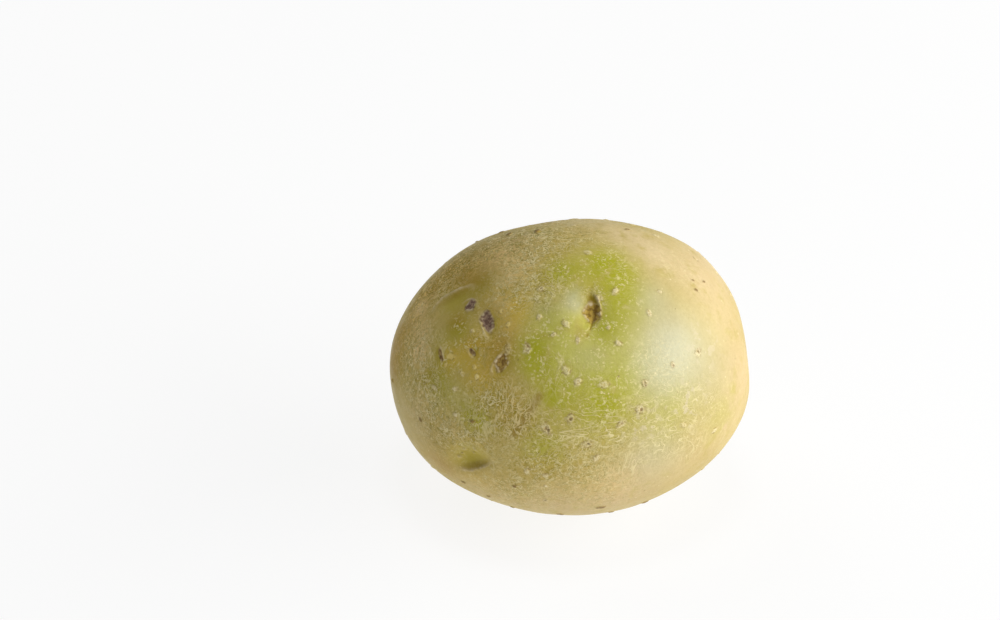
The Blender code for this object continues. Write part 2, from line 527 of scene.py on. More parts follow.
# %% Raise the lenticels
LENTICEL_FIELD = 3  # a lenticel changes the skin this many radii out
BUTTON_TEAR_SIZE = 0.6 * MM
BUTTON_GRIT_SIZE = 0.28 * MM
BUTTON_TEAR_SEED = 31.0
BUTTON_GRIT_SEED = 37.0
SEED_STEP = 0.7
BUTTON_TORN = 0.45
BUTTON_GRIT = 0.2
BUTTON_EDGE = 0.95
BUTTON_SOFTNESS = 0.09
BUTTON_HEIGHT = 0.13 * MM
BUTTON_CRUST = 0.10 * MM
HALO_OUT = 1.15
HALO_REACH = 0.20
HALO_EVEN = 0.3
HALO_TORN = 1.6
HEART_DEPTH = 0.16 * MM
HEART_SHIFT = 0.35
HEART_REACH = 0.55
HEART_TORN = 1.5
CRUMB_HEIGHT = 0.20 * MM


def raise_lenticel(lenticel, seed):
    radius = lenticel["radius"]
    fresh = lenticel["fresh"]
    offset = points - np.array(lenticel["spot"])
    near = np.flatnonzero((offset**2).sum(axis=1) < (LENTICEL_FIELD * radius) ** 2)
    offset = offset[near] / radius
    longer = np.array(lenticel["longer"])
    squashed = offset - (1 - 1 / lenticel["stretch"]) * np.outer(offset @ longer, longer)
    tears = lumps(near, BUTTON_TEAR_SIZE, BUTTON_TEAR_SEED + seed)
    grit = lumps(near, BUTTON_GRIT_SIZE, BUTTON_GRIT_SEED + seed)
    ragged = BUTTON_TORN * tears + BUTTON_GRIT * grit
    distance = np.linalg.norm(squashed, axis=1) + ragged
    button = crisp(distance, BUTTON_EDGE, BUTTON_SOFTNESS)
    from_heart = np.linalg.norm(squashed - HEART_SHIFT * fresh * longer, axis=1)
    heart = soft(from_heart + HEART_TORN * ragged, HEART_REACH * fresh)
    # the halo: a brown cork line round the button, partly painted shadow at its foot
    halo = soft(distance - HALO_OUT, HALO_REACH) * np.clip(HALO_EVEN + HALO_TORN * tears, 0, 1)
    if lenticel["kind"] == DARK:
        rise[near] += (CRUMB_HEIGHT + BUTTON_CRUST * grit) * button
        mark("heart", near, button)
        return
    rise[near] += (BUTTON_HEIGHT + BUTTON_CRUST * grit) * button
    mark("button", near, fresh * button)
    mark("halo", near, halo)
    if lenticel["kind"] == RINGED:
        rise[near] -= HEART_DEPTH * heart
        mark("heart", near, heart)


for number, lenticel in enumerate(lenticels):
    raise_lenticel(lenticel, SEED_STEP * number)
covered = float((masks["button"] > 0.5).mean())
print("skin under buttons:", round(100 * covered, 1), "% of the points")

# %% [markdown]
# ## Where the skin has which colour
#
# Greening, staining and cork do not follow a pattern: they are where light, soil and growth put
# them. So they are dabbed on like paint with a soft sponge. Each dab is a place, a reach in
# millimetres and a strength, and the dabs of one kind make one mask. The paint is:
#
# - green, where light has made chlorophyll under thin skin, with olive where the skin is thick; olive
#   dabs on the rim of the bud end are painted shade
# - ochre, where the flesh shows orange through rubbed skin, near the bud end
# - lime, a light yellow green between the green patches
# - pale, where the skin is thin, tight and waxy, and painted sheen of the highlights on the bulge
#   beside the middle eye and on the stem-end shoulder; cream where it is dry, and rose at the ends
# - film, a grainy layer of dull cork, and rubbed, where it has come off again
# - peel, where the cork comes away in long threads that run along or round the tuber
# - scuff, russet and husk, where the cork is scratched, browner, or dry and pinkish; russet dabs on
#   the rim of the bud end are painted shade
# - flaky, where the pale wax comes off in small flakes

# %% Dab on the patches
def line_of_dabs(start, end, reach, strength):
    """Dabs in a row from one place to another, a reach or less apart."""
    steps = int(math.dist(start, end) / reach) + 2
    ways = [np.linspace(first, last, steps) for first, last in zip(start, end)]
    return [(float(along), float(turn), reach, strength) for along, turn in zip(*ways)]


PAINT_DABS = {
    "lime": [
        (-2.5, 49, 7.0, 1.0), (-1.0, 37, 6.0, 1.0), (6, 32, 7.0, 1.0), (12, 35, 6.0, 0.8),
        (6, 13, 6.0, 0.4), (18, 20, 8.0, 0.5), (11, 47, 6.0, 0.6), (-24, 50, 6.0, 0.5),
        (-27, 20, 6.0, 0.4), (1, 155, 12.0, 0.8), (-14, 205, 9.0, 0.7), (24, 185, 8.0, 0.5),
    ],
    "green": [
        (7.0, 77, 5.6, 1.0), (10, 71, 4.6, 0.8), (-2.0, 72, 5.0, 0.95), (9.5, 60, 5.5, 0.9),
        (-8.4, 41, 3.8, 1.0), (-7.6, 35, 3.2, 0.9), (-3.5, 24, 4.4, 0.95), (6.5, 22, 6.0, 1.0),
        (-6.0, 5, 5.0, 0.75), (6.5, 49, 4.0, 0.8), (-24, 53, 2.8, 0.9), (-29, 25, 5.0, 0.5),
        (-20.5, 13, 3.6, 0.9), (1, 42, 9.0, 0.25), (12, 33, 7.0, 0.25), (20, 15, 6.0, 0.3),
        (-5, 52, 4.0, 0.3), (32, 3, 6.0, 0.4), (3, 165, 7.0, 0.9), (-14, 200, 6.0, 0.8),
        (-4, 180, 6.0, 0.6), (22, 230, 7.0, 0.5),
    ],
    # the dabs at along -30 and beyond, on the near side and the top, are painted shade on the rim of
    # the bud end; the rest are olive skin
    "olive_and_shade": [
        (-18.8, 75, 4.4, 1.0), (-31, 30, 6.0, 0.5), (-38, 45, 8.0, 0.9), (-34, 75, 7.0, 0.7),
        (-30, 85, 6.0, 0.6), (10, 190, 8.0, 0.5), (-24, 160, 7.0, 0.5), (-15, 38, 3.2, 0.6),
    ],
    "ochre": [
        (-13.2, 58, 4.4, 1.0), (-25.5, 38, 3.2, 1.0), (-19, 31, 4.4, 0.75), (-14, 50, 3.4, 0.8),
        (-11, 78, 5.0, 0.5), (-21, 42, 3.6, 0.8), (-16, 67, 4.0, 0.5), (-21, -16, 6.0, 0.4),
        (12, 225, 8.0, 0.8), (-22, 250, 8.0, 0.8), (0, 250, 7.0, 0.5),
    ],
    "rose": [
        (36, 30, 9.0, 0.8), (33, 0, 9.0, 0.8), (24, -16, 9.0, 0.4), (10, -24, 9.0, 0.8),
        (-4, -26, 9.0, 0.6), (-18, -28, 8.0, 0.5), (-32, 5, 6.0, 0.5), (-12, 98, 7.0, 0.6),
        (30, 100, 9.0, 0.5), (30, 190, 10.0, 0.6), (0, 300, 12.0, 0.5),
    ],
    # thin waxy skin; the dabs on the bulge beside the middle eye (along 0.5 to 1, turn 58 to 61) and
    # over the stem-end shoulder (along 16 to 28, turn 30 to 62) are also a painted sheen of
    # highlights
    "pale": [
        (20.5, 42, 8.0, 1.0), (16, 62, 5.0, 0.6), (18, 32, 6.0, 0.8), (1.0, 58, 2.4, 1.0),
        (4, 38, 4.0, 0.4), (-6, 58, 3.0, 0.35), (28, 30, 9.0, 0.4), (24, 175, 9.0, 0.8),
        (-2, 195, 5.0, 0.5), (17, -2, 8.0, 0.45), (0.5, 61, 2.2, 0.8),
    ],
    "cream": [
        (18, 90, 7.0, 1.0), (27, 88, 8.0, 1.0), (12, 100, 6.0, 0.9), (32, 70, 7.0, 0.6),
        (4, 112, 8.0, 0.6), (30, 130, 10.0, 0.9), (28, 250, 10.0, 0.7), (14, -8, 7.0, 0.6),
    ],
    "rubbed": [
        (-18.8, 75, 4.0, 0.85), (-24, 53, 3.0, 0.6), (-13.5, 56, 4.2, 0.5), (-26, 66, 3.4, 0.6),
        (-22, 34, 5.0, 0.3), (-8, 41, 4.0, 0.6), (-21, -14, 4.0, 0.6), (6, 79, 5.0, 0.5),
        (-8, 200, 6.0, 0.6), (18, 150, 6.0, 0.6),
    ],
    "film": [
        (-31, 91, 7.0, 1.0), (-25, 97, 7.0, 1.0), (-17, 96, 6.0, 1.0), (-9, 95, 6.0, 1.0),
        (-34, 50, 7.0, 0.8), (-32, 25, 6.0, 0.6), (-29, 5, 6.0, 0.8), (-22, 0, 6.0, 0.8),
        (-16, 20, 5.0, 0.8), (-12, 14, 5.0, 0.8), (-7, -4, 6.0, 0.6), (2, -3, 6.0, 0.6),
        (9, 8, 6.0, 0.35), (6, -18, 8.0, 0.35), (-12, -20, 8.0, 0.5), (-25, 72, 4.0, 0.6),
        (-18, 46, 5.0, 0.5), (-14, 62, 4.0, 0.5), (-7, 62, 4.0, 0.4), (-12, 70, 5.0, 0.5),
        (2, 95, 5.0, 0.5), (-8, 85, 6.0, 0.8), (-6, 66, 4.0, 0.5), (4, 62, 2.5, 0.5),
        (-10, 120, 12.0, 0.9), (15, 130, 9.0, 0.4), (-15, 170, 12.0, 0.9), (8, 215, 12.0, 0.8),
        (-20, 290, 14.0, 0.9), (20, 270, 14.0, 0.7), (28, 225, 10.0, 0.5),
    ],
    "peel_along": [
        (-4, 12, 4.5, 0.9), (3, 12, 5.0, 1.0), (9, 10, 5.0, 1.0), (14, 16, 4.0, 0.7),
        (10, 75, 5.0, 0.5), (8, 88, 3.0, 0.7), (22, 88, 7.0, 0.4), (-3, 96, 7.0, 0.9),
        (-28, 80, 4.0, 1.0), (16, 38, 5.0, 0.4), (22, 20, 7.0, 0.5), (4, 30, 4.0, 0.4),
        (-9, 66, 4.0, 0.5), (-5, 150, 8.0, 0.9), (12, 200, 8.0, 0.9), (-10, 250, 10.0, 0.9),
        (10, 300, 9.0, 0.8), (20, 3, 6.0, 0.8), (29, 14, 5.0, 0.6),
    ],
    "peel_round": [
        (-17, 22, 5.0, 1.0), (-12, 16, 5.0, 1.0), (-21, 5, 5.0, 0.8), (1, 3, 4.5, 0.9),
        (-3, 32, 4.0, 0.7), (-18, 85, 6.0, 0.8), (-30, 40, 6.0, 0.7), (-12, 78, 5.0, 0.7),
        (-24, 66, 3.0, 0.4), (-20, 130, 8.0, 0.8), (20, 160, 8.0, 0.7), (-25, 220, 8.0, 0.8),
        (12, -5, 5.0, 0.7), (25, -4, 5.0, 0.6), (-31, 20, 5.0, 0.6),
    ],
    "scuff": line_of_dabs((-6.9, 24.2), (-12.6, 7.8), 0.7, 0.7),
    # browner cork; the dabs at along -37 and beyond paint shade on the rim of the bud end
    "russet_and_shade": [
        (-31, 88, 6.0, 0.8), (-25, 96, 6.0, 0.7), (-22, 80, 4.0, 0.8), (-24, 57, 4.0, 0.9),
        (-34, 70, 5.0, 0.7), (-17, 88, 6.0, 0.7), (-38, 50, 5.0, 0.5), (-18, 58, 3.0, 0.4),
        (-12, 16, 4.0, 0.3), (-28, -24, 5.0, 0.8), (-37.6, 68, 4.5, 1.0), (-38, 30, 4.0, 0.6),
        (-15.1, 43, 3.2, 0.8), (-16, 33, 3.0, 0.5), (-20.4, 44, 3.0, 0.4), (-18, 140, 9.0, 0.5),
        (10, 250, 8.0, 0.5), (-30, 300, 8.0, 0.5),
    ],
    "husk": [
        (-31, 14, 3.0, 0.4), (-32.3, 77, 3.0, 1.0), (-32, 58, 3.0, 0.8), (-32.4, 43, 3.4, 1.0),
        (-27.9, 66, 2.8, 0.6), (-24.7, 69, 2.2, 0.3), (-13, 73, 3.4, 0.6), (-15, 90, 5.0, 0.7),
        (-10, 80, 4.0, 0.5), (-15, 60, 2.6, 0.5), (-14, 50, 3.0, 0.3), (-25, 5, 3.0, 0.4),
        (8, -14, 6.0, 0.5), (-8, 130, 9.0, 0.6), (8, 215, 9.0, 0.5),
    ],
    "flaky": [(24, 17, 5.0, 1.0), (15, 12, 4.0, 0.9), (28, 45, 5.0, 0.6), (20, 210, 8.0, 0.8)],
}


def dab_mask(dabs):
    mask = np.zeros(len(points))
    for along, turn, reach, strength in dabs:
        distance = np.sqrt(((points - np.array(on_skin(along, turn)[0])) ** 2).sum(axis=1))
        mask = 1 - (1 - mask) * (1 - strength * soft(distance, reach * MM))
    return mask


for paint, dabs in PAINT_DABS.items():
    masks[paint] = dab_mask(dabs)
    print(paint, "covers", round(100 * float(masks[paint].mean())), "% of the points")

# %% [markdown]
# ## The potato piece
#
# Now the points move out by their rise. Nothing may sink below the surface that the potato lies
# on, so heights under zero are lifted back to it: that keeps the flat resting spot flat.

# %% Make the potato object
points += outward * rise[:, None]
points[:, 2] = np.maximum(points[:, 2], 0.0)
for vert, point in zip(skin_mesh.verts, points):
    vert.co = point
bmesh.ops.recalc_face_normals(skin_mesh, faces=skin_mesh.faces[:])
mesh = bpy.data.meshes.new("potato")
skin_mesh.to_mesh(mesh)
skin_mesh.free()
mesh.shade_smooth()
for name, mask in masks.items():
    layer = mesh.attributes.new(name, "FLOAT", "POINT")
    layer.data.foreach_set("value", mask.astype(np.float32))
potato = bpy.data.objects.new("potato", mesh)
bpy.context.scene.collection.objects.link(potato)
triangles = sum(len(face.vertices) - 2 for face in mesh.polygons)
print("potato:", triangles, "triangles")

# %% [markdown]
# ## Wiring a material
#
# A procedural material is a chain of small boxes. A few short helpers keep the chain readable:
# one places a box and fills its sockets, one does sums on masks, one turns a range of values
# into a soft step, and one lays a colour over another through a mask.

# %% Helpers for wiring
def place(tree, kind, sockets=(), **settings):
    """Adds a node. sockets maps an input's name or number to a value or to an output."""
    box = tree.nodes.new(kind)
    for key, value in settings.items():
        setattr(box, key, value)
    for key, value in dict(sockets).items():
        if isinstance(value, bpy.types.NodeSocket):
            tree.links.new(value, box.inputs[key])
        elif isinstance(value, tuple) and len(box.inputs[key].default_value) == 4:
            box.inputs[key].default_value = (*value, 1.0)
        else:
            box.inputs[key].default_value = value
    return box


def sums(tree, operation, *values):
    sockets = dict(enumerate(values))
    return place(tree, "ShaderNodeMath", sockets, operation=operation).outputs[0]


def product(tree, *values):
    result = values[0]
    for value in values[1:]:
        result = sums(tree, "MULTIPLY", result, value)
    return result


def soft_step(tree, value, start, end, low=0.0, high=1.0):
    """Turns start..end into low..high, flat outside, with a soft beginning and end."""
    sockets = {"Value": value, "From Min": start, "From Max": end, "To Min": low, "To Max": high}
    box = place(tree, "ShaderNodeMapRange", sockets, interpolation_type="SMOOTHSTEP")
    return box.outputs["Result"]


def lay_over(tree, under, over, mask):
    """Lays the colour over on the colour under, as thickly as the mask says."""
    mix = tree.nodes.new("ShaderNodeMix")
    mix.data_type = "RGBA"
    factor, first, second = mix.inputs[0], mix.inputs[6], mix.inputs[7]
    for socket, value in ((factor, mask), (first, under), (second, over)):
        if isinstance(value, bpy.types.NodeSocket):
            tree.links.new(value, socket)
        else:
            socket.default_value = (*value, 1.0) if isinstance(value, tuple) else value
    return mix.outputs[2]


def new_group(name, inputs, output):
    """An empty node group with a Place vector, number inputs and one number output."""
    group = bpy.data.node_groups.new(name, "ShaderNodeTree")
    group.interface.new_socket("Place", in_out="INPUT", socket_type="NodeSocketVector")
    for title, start in inputs.items():
        socket = group.interface.new_socket(title, in_out="INPUT", socket_type="NodeSocketFloat")
        socket.default_value = start
    group.interface.new_socket(output, in_out="OUTPUT", socket_type="NodeSocketFloat")
    given = group.nodes.new("NodeGroupInput").outputs
    result = group.nodes.new("NodeGroupOutput").inputs[output]
    return group, given, result


print("helpers ready: place, sums, product, soft_step, lay_over, new_group")

# %% [markdown]
# ## Blotches
#
# The effect that the skin needs most is a soft-edged blotch: it breaks up the green, mottles the
# buff and varies the shine. It is noise passed through a soft step. As a group with its own
# inputs it is built once and used at many sizes.

# %% Blotch group
EDGE_AT_NO_SHARE = 0.75
EDGE_FALL = 0.5  # the noise level of a blotch's edge falls this far as its share grows to 1
blotches, given, result = new_group(
    "skin_blotches", {"Size": 5.0, "Share": 0.5, "Softness": 0.15}, "Mask"
)
cloud = place(
    blotches,
    "ShaderNodeTexNoise",
    {
        "Vector": given["Place"],
        "Scale": sums(blotches, "DIVIDE", 1.0, given["Size"]),
        "Detail": 3.0,
        "Roughness": 0.55,
    },
)
edge = sums(blotches, "MULTIPLY_ADD", given["Share"], -EDGE_FALL, EDGE_AT_NO_SHARE)
edge_start = sums(blotches, "SUBTRACT", edge, given["Softness"])
edge_end = sums(blotches, "ADD", edge, given["Softness"])
mask = soft_step(blotches, cloud.outputs["Fac"], edge_start, edge_end)
blotches.links.new(mask, result)
print("blotch group:", len(blotches.nodes), "nodes")

# %% [markdown]
# ## Cork threads
#
# As a tuber swells, its first skin tears and the cork heals it along the tears. What is left is
# a net of fine pale threads that curl like worms. Threads like that are the contour lines of a
# noise: the places where the noise passes through one level. Distortion inside the noise curls
# them. Two levels close together give the double edge of a peeling strip.

# %% Thread group
THREAD_CORE = 0.35  # this share of a thread's thickness is its full colour
threads, given, result = new_group(
    "cork_threads", {"Spacing": 1.6, "Thickness": 0.05, "Curl": 0.6, "Level": 0.5}, "Threads"
)
hills = place(
    threads,
    "ShaderNodeTexNoise",
    {
        "Vector": given["Place"],
        "Scale": sums(threads, "DIVIDE", 1.0, given["Spacing"]),
        "Detail": 1.0,
        "Roughness": 0.5,
        "Distortion": given["Curl"],
    },
)
above_level = sums(threads, "SUBTRACT", hills.outputs["Fac"], given["Level"])
from_line = sums(threads, "ABSOLUTE", above_level)
core = sums(threads, "MULTIPLY", given["Thickness"], THREAD_CORE)
threads.links.new(soft_step(threads, from_line, given["Thickness"], core), result)
print("thread group:", len(threads.nodes), "nodes")

# %% [markdown]
# ## Specks
#
# Between the lenticels the skin is peppered with far smaller dots. A Voronoi texture gives the
# distance to scattered points: near such a point is a dot. Each point also has a random colour,
# and using it as a lottery keeps only a share of the dots, so they don't look like a grid.

# %% Speck group
specks, given, result = new_group(
    "skin_specks", {"Spacing": 2.0, "Dot Size": 0.2, "Share": 0.4}, "Dots"
)
scatter = place(
    specks,
    "ShaderNodeTexVoronoi",
    {"Vector": given["Place"], "Scale": sums(specks, "DIVIDE", 1.0, given["Spacing"])},
)
lottery = place(specks, "ShaderNodeSeparateColor", {"Color": scatter.outputs["Color"]})
drawn = sums(specks, "LESS_THAN", lottery.outputs[0], given["Share"])
dot_size = sums(specks, "MULTIPLY", given["Dot Size"], lottery.outputs[1])
dot = soft_step(specks, scatter.outputs["Distance"], dot_size, 0.0)
specks.links.new(product(specks, dot, drawn), result)
print("speck group:", len(specks.nodes), "nodes")

# %% [markdown]
# ## Potato skin: helpers of its own
#
# All sizes in this material are in millimetres, so the place on the potato is scaled up first.
# Squeezing the place one way draws an effect out that way, as threads are drawn out by growth.

# %% Start the skin material
skin = bpy.data.materials.new("potato_skin")
skin.use_nodes = True
skin_tree = skin.node_tree
skin_shader = skin_tree.nodes["Principled BSDF"]
in_metres = place(skin_tree, "ShaderNodeTexCoord").outputs["Object"]
to_mm = place(
    skin_tree, "ShaderNodeVectorMath", {0: in_metres, "Scale": 1 / MM}, operation="SCALE"
)
skin_place = to_mm.outputs[0]


def mask_of(name):
    return place(skin_tree, "ShaderNodeAttribute", attribute_name=name).outputs["Fac"]


def effect(group, squeeze=(1.0, 1.0, 1.0), **values):
    """One of the groups, wired to the skin's place."""
    sockets = {0: skin_place, 1: squeeze}
    squeezed = place(skin_tree, "ShaderNodeVectorMath", sockets, operation="MULTIPLY")
    box = place(skin_tree, "ShaderNodeGroup", {"Place": squeezed.outputs[0]}, node_tree=group)
    for key, value in values.items():
        box.inputs[key.replace("_", " ")].default_value = value
    return box.outputs[0]


def fine_noise(size, detail=2.0):
    sockets = {"Vector": skin_place, "Scale": 1 / size, "Detail": detail, "Roughness": 0.6}
    return place(skin_tree, "ShaderNodeTexNoise", sockets).outputs["Fac"]


def scaled(value, by, plus=0.0):
    return sums(skin_tree, "MULTIPLY_ADD", value, by, plus)


def either(first, second):
    """A mask of where one mask or the other is."""
    return sums(skin_tree, "MAXIMUM", first, second)


def tint(under, over, *masks, strength=1.0):
    """Lays a tint over the skin so far, through all the masks multiplied together."""
    return lay_over(skin_tree, under, over, product(skin_tree, *masks, strength))


print("skin started:", len(skin_tree.nodes), "nodes")

# %% [markdown]
# ## Potato skin: the flesh under it
#
# The layers go on in the order in which they lie on the real skin. First comes the flesh that
# shows through: buff, deeper in broad patches, with the dabbed-on paint over it. Every dab but the
# pale is broken up by blotches, so that its patch lacks the round edge of the sponge.

# %% Lay the flesh colours
BUFF = (0.63, 0.50, 0.17)
BUFF_DEEP = (0.55, 0.42, 0.12)
CREAM = (0.79, 0.62, 0.34)
ROSE = (0.70, 0.52, 0.28)
LIME = (0.66, 0.62, 0.155)
PALE_WAX_AND_SHEEN = (0.63, 0.60, 0.38)
OCHRE = (0.74, 0.51, 0.065)
GREEN = (0.45, 0.44, 0.022)
OLIVE_AND_SHADE = (0.40, 0.30, 0.018)
colour = lay_over(skin_tree, BUFF, BUFF_DEEP, effect(blotches, Size=8.0, Softness=0.2))
patchy = effect(blotches, Size=3.5, Share=0.8, Softness=0.16)
colour = tint(colour, CREAM, mask_of("cream"), patchy)
colour = tint(colour, ROSE, mask_of("rose"), patchy)
colour = tint(colour, LIME, mask_of("lime"), patchy)
# pale wax, with painted sheen where the highlights fall
colour = tint(colour, PALE_WAX_AND_SHEEN, mask_of("pale"))
colour = tint(colour, OCHRE, mask_of("ochre"), patchy)
uneven = effect(blotches, Size=3.0, Share=0.85, Softness=0.18)
colour = tint(colour, GREEN, mask_of("green"), uneven)
# olive skin, and painted shade on the rim of the bud end
colour = tint(colour, OLIVE_AND_SHADE, mask_of("olive_and_shade"), uneven)
print("flesh layers:", len(skin_tree.nodes), "nodes so far")

# %% [markdown]
# ## The grainy film
#
# Where the outer cork has not rubbed off it is a dull film, thick in some places and thin in
# others, browner here and pinkish there. Smooth places such as the hollows have no film.

# %% Lay the film on
FILM = (0.45, 0.34, 0.035)
FILM_PINK = (0.59, 0.41, 0.09)
RUSSET_AND_SHADE = (0.42, 0.22, 0.010)
HUSK = (0.86, 0.63, 0.28)
cleared = either(mask_of("hollow"), mask_of("rubbed"))
bare = sums(skin_tree, "SUBTRACT", 1.0, cleared)
film = product(skin_tree, mask_of("film"), bare)
film_thick = soft_step(skin_tree, fine_noise(1.5, detail=3.0), 0.36, 0.62, low=0.15, high=0.80)
film_colour = lay_over(skin_tree, FILM, FILM_PINK, effect(blotches, Size=5.0, Softness=0.2))
colour = tint(colour, film_colour, film, film_thick)
# browner cork, and painted shade on the rim of the bud end
colour = tint(colour, RUSSET_AND_SHADE, mask_of("russet_and_shade"), strength=0.68)
husky = effect(blotches, Size=2.4, Share=0.9, Softness=0.15)
colour = tint(colour, HUSK, mask_of("husk"), husky, strength=0.9)
print("with film:", len(skin_tree.nodes), "nodes")

# %% [markdown]
# ## Grain, crumbs and scratches
#
# Close up the film is mottled by dark grains, and pale crumbs of cork lie on it in clusters. They
# lie thinly on the green too. A scratch is a thin brown line, and where the skin is waxy the wax
# comes off in flakes.

# %% Mottle the film
MOTTLE = (0.27, 0.20, 0.008)
CRUMB = (0.90, 0.80, 0.42)
SCUFF = (0.38, 0.25, 0.06)
WAX_FLAKE = (0.80, 0.68, 0.50)
grain = fine_noise(0.80)
dark_grain = soft_step(skin_tree, grain, 0.47, 0.33)
colour = tint(colour, MOTTLE, dark_grain, scaled(film, by=0.70, plus=0.08))
crumbs = soft_step(skin_tree, fine_noise(0.62, detail=1.0), 0.55, 0.63)
clusters = effect(blotches, Size=2.4, Share=0.48, Softness=0.10)
crumby = scaled(film, by=0.5, plus=0.10)
crumby = scaled(mask_of("green"), by=0.5, plus=crumby)
crumby = scaled(mask_of("lime"), by=0.25, plus=crumby)
crumby = scaled(mask_of("ochre"), by=0.5, plus=crumby)
colour = tint(colour, CRUMB, crumbs, clusters, crumby)
colour = tint(colour, SCUFF, mask_of("scuff"), strength=0.85)
flakes = effect(blotches, Size=1.8, Share=0.35, Softness=0.04)
colour = tint(colour, WAX_FLAKE, mask_of("flaky"), flakes, strength=0.55)
print("with grain:", len(skin_tree.nodes), "nodes")

# %% [markdown]
# ## The threads
#
# Fine threads run through the film in a net. The long ones peel off where the skin was torn
# widest. Under each is a painted shadow, a faint dark line a little wider than itself, where a
# raised thread would cast one. All of them are broken here and there, since no cork thread runs
# on for long.

# %% Lay the threads on
THREAD = (0.94, 0.82, 0.45)
THREAD_OLD = (0.88, 0.60, 0.15)
PAINTED_THREAD_SHADOW = (0.27, 0.21, 0.008)
COARSE_NET = {"Spacing": 2.3, "Curl": 1.4}
FINE_NET = {"Spacing": 1.5, "Curl": 1.0}
LONG_THREADS = {"Spacing": 1.8, "Curl": 0.9}
ALONG_TUBER = (0.36, 1.0, 1.0)
ROUND_TUBER = (1.0, 0.40, 0.40)
THREAD_SHADOW = 0.12
peel_along = product(skin_tree, mask_of("peel_along"), bare)
peel_round = product(skin_tree, mask_of("peel_round"), bare)
long_along = effect(threads, ALONG_TUBER, **LONG_THREADS, Thickness=0.029)
long_round = effect(threads, ROUND_TUBER, **LONG_THREADS, Thickness=0.029)
strips = either(
    product(skin_tree, long_along, peel_along), product(skin_tree, long_round, peel_round)
)
torn_off = effect(blotches, Size=2.6, Share=0.75, Softness=0.08)
strips = product(skin_tree, strips, torn_off, 0.85)

coarse = effect(threads, **COARSE_NET, Thickness=0.034)
fine = effect(threads, **FINE_NET, Thickness=0.040)
lines = either(coarse, scaled(fine, by=0.8))
netted = either(film, scaled(either(peel_along, peel_round), by=0.35))
broken = effect(blotches, Size=1.6, Share=0.65, Softness=0.10)
netted = product(skin_tree, scaled(netted, by=0.92, plus=0.08), broken)
# painted shadow: a dark line along each coarse thread, a little wider than it
thread_shadow_lines = effect(threads, **COARSE_NET, Thickness=THREAD_SHADOW)
colour = tint(colour, PAINTED_THREAD_SHADOW, thread_shadow_lines, netted, strength=0.6)
thread = either(product(skin_tree, lines, netted), strips)
thread_colour = lay_over(skin_tree, THREAD, THREAD_OLD, mask_of("russet_and_shade"))
colour = tint(colour, thread_colour, thread, strength=0.92)
print("with threads:", len(skin_tree.nodes), "nodes")

# %% [markdown]
# ## Specks and lenticels
#
# Cork is the same stuff everywhere, so the specks and the buttons share a pale colour, and the
# hearts and halos share a brown one; on the halos that brown is partly painted shadow. The crust
# of a button is mottled by a fine grain, and where the flesh is stained the cork over it is
# stained too.

# %% Colour the specks and lenticels
CORK = (0.92, 0.81, 0.48)
CORK_OLD = (0.68, 0.52, 0.24)
CORK_STAINED = (0.92, 0.70, 0.16)
CORK_BROWN = (0.29, 0.175, 0.055)
pale_specks = effect(specks, Spacing=1.7, Dot_Size=0.22, Share=0.35)
dark_specks = effect(specks, Spacing=3.1, Dot_Size=0.14, Share=0.35)
colour = tint(colour, CORK, pale_specks, strength=0.7)
colour = tint(colour, CORK_BROWN, dark_specks, strength=0.7)
crust = lay_over(skin_tree, CORK_OLD, CORK, soft_step(skin_tree, fine_noise(0.35), 0.4, 0.56))
crust = tint(crust, CORK_STAINED, mask_of("ochre"), strength=0.7)
# painted shadow and brown cork round each button's foot
colour = tint(colour, CORK_BROWN, mask_of("halo"), strength=0.85)
colour = tint(colour, crust, mask_of("button"), strength=0.9)
colour = tint(colour, CORK_BROWN, mask_of("heart"), strength=0.85)
print("with lenticels:", len(skin_tree.nodes), "nodes")

# %% [markdown]
# ## In the eyes
#
# The hollow is a deeper green than the skin round it, and brown where it is in shade. Its brow
# is scuffed to a pinkish cream. The scab is brown to purple, and its curled edges are pale where
# they have flaked.

# %% Colour the eyes
HOLLOW = (0.44, 0.36, 0.012)
SHADED = (0.30, 0.18, 0.002)
BROW = (0.84, 0.69, 0.44)
SCAB = (0.23, 0.13, 0.022)
SCAB_LIGHT = (0.50, 0.33, 0.06)
BRUISE = (0.17, 0.095, 0.085)
BRUISE_LIGHT = (0.34, 0.225, 0.18)
FLAKE = (0.80, 0.66, 0.42)
colour = tint(colour, HOLLOW, mask_of("hollow"), strength=0.7)
colour = tint(colour, SHADED, mask_of("shaded"), strength=0.85)
colour = tint(colour, BROW, mask_of("brow"), strength=0.75)
scab_light = soft_step(skin_tree, fine_noise(0.9), 0.40, 0.64)
scab_colour = lay_over(skin_tree, SCAB, SCAB_LIGHT, scab_light)
bruise_colour = lay_over(skin_tree, BRUISE, BRUISE_LIGHT, scab_light)
colour = tint(colour, scab_colour, mask_of("scab"), strength=0.9)
colour = tint(colour, bruise_colour, mask_of("bruise"), strength=0.9)
colour = tint(colour, FLAKE, mask_of("flake"), strength=0.8)
skin_tree.links.new(colour, skin_shader.inputs["Base Color"])
print("all colour:", len(skin_tree.nodes), "nodes")

# %% [markdown]
# ## Shine and relief
#
# Bare skin is waxy and cork is dull, so the film and the threads add roughness. Where the skin is
# pale and tight, a thin coat of wax gives a soft gleam. The finest relief is too small for the
# mesh, so it comes from a bump: raised threads, the grain of the film, and faint pebbling.

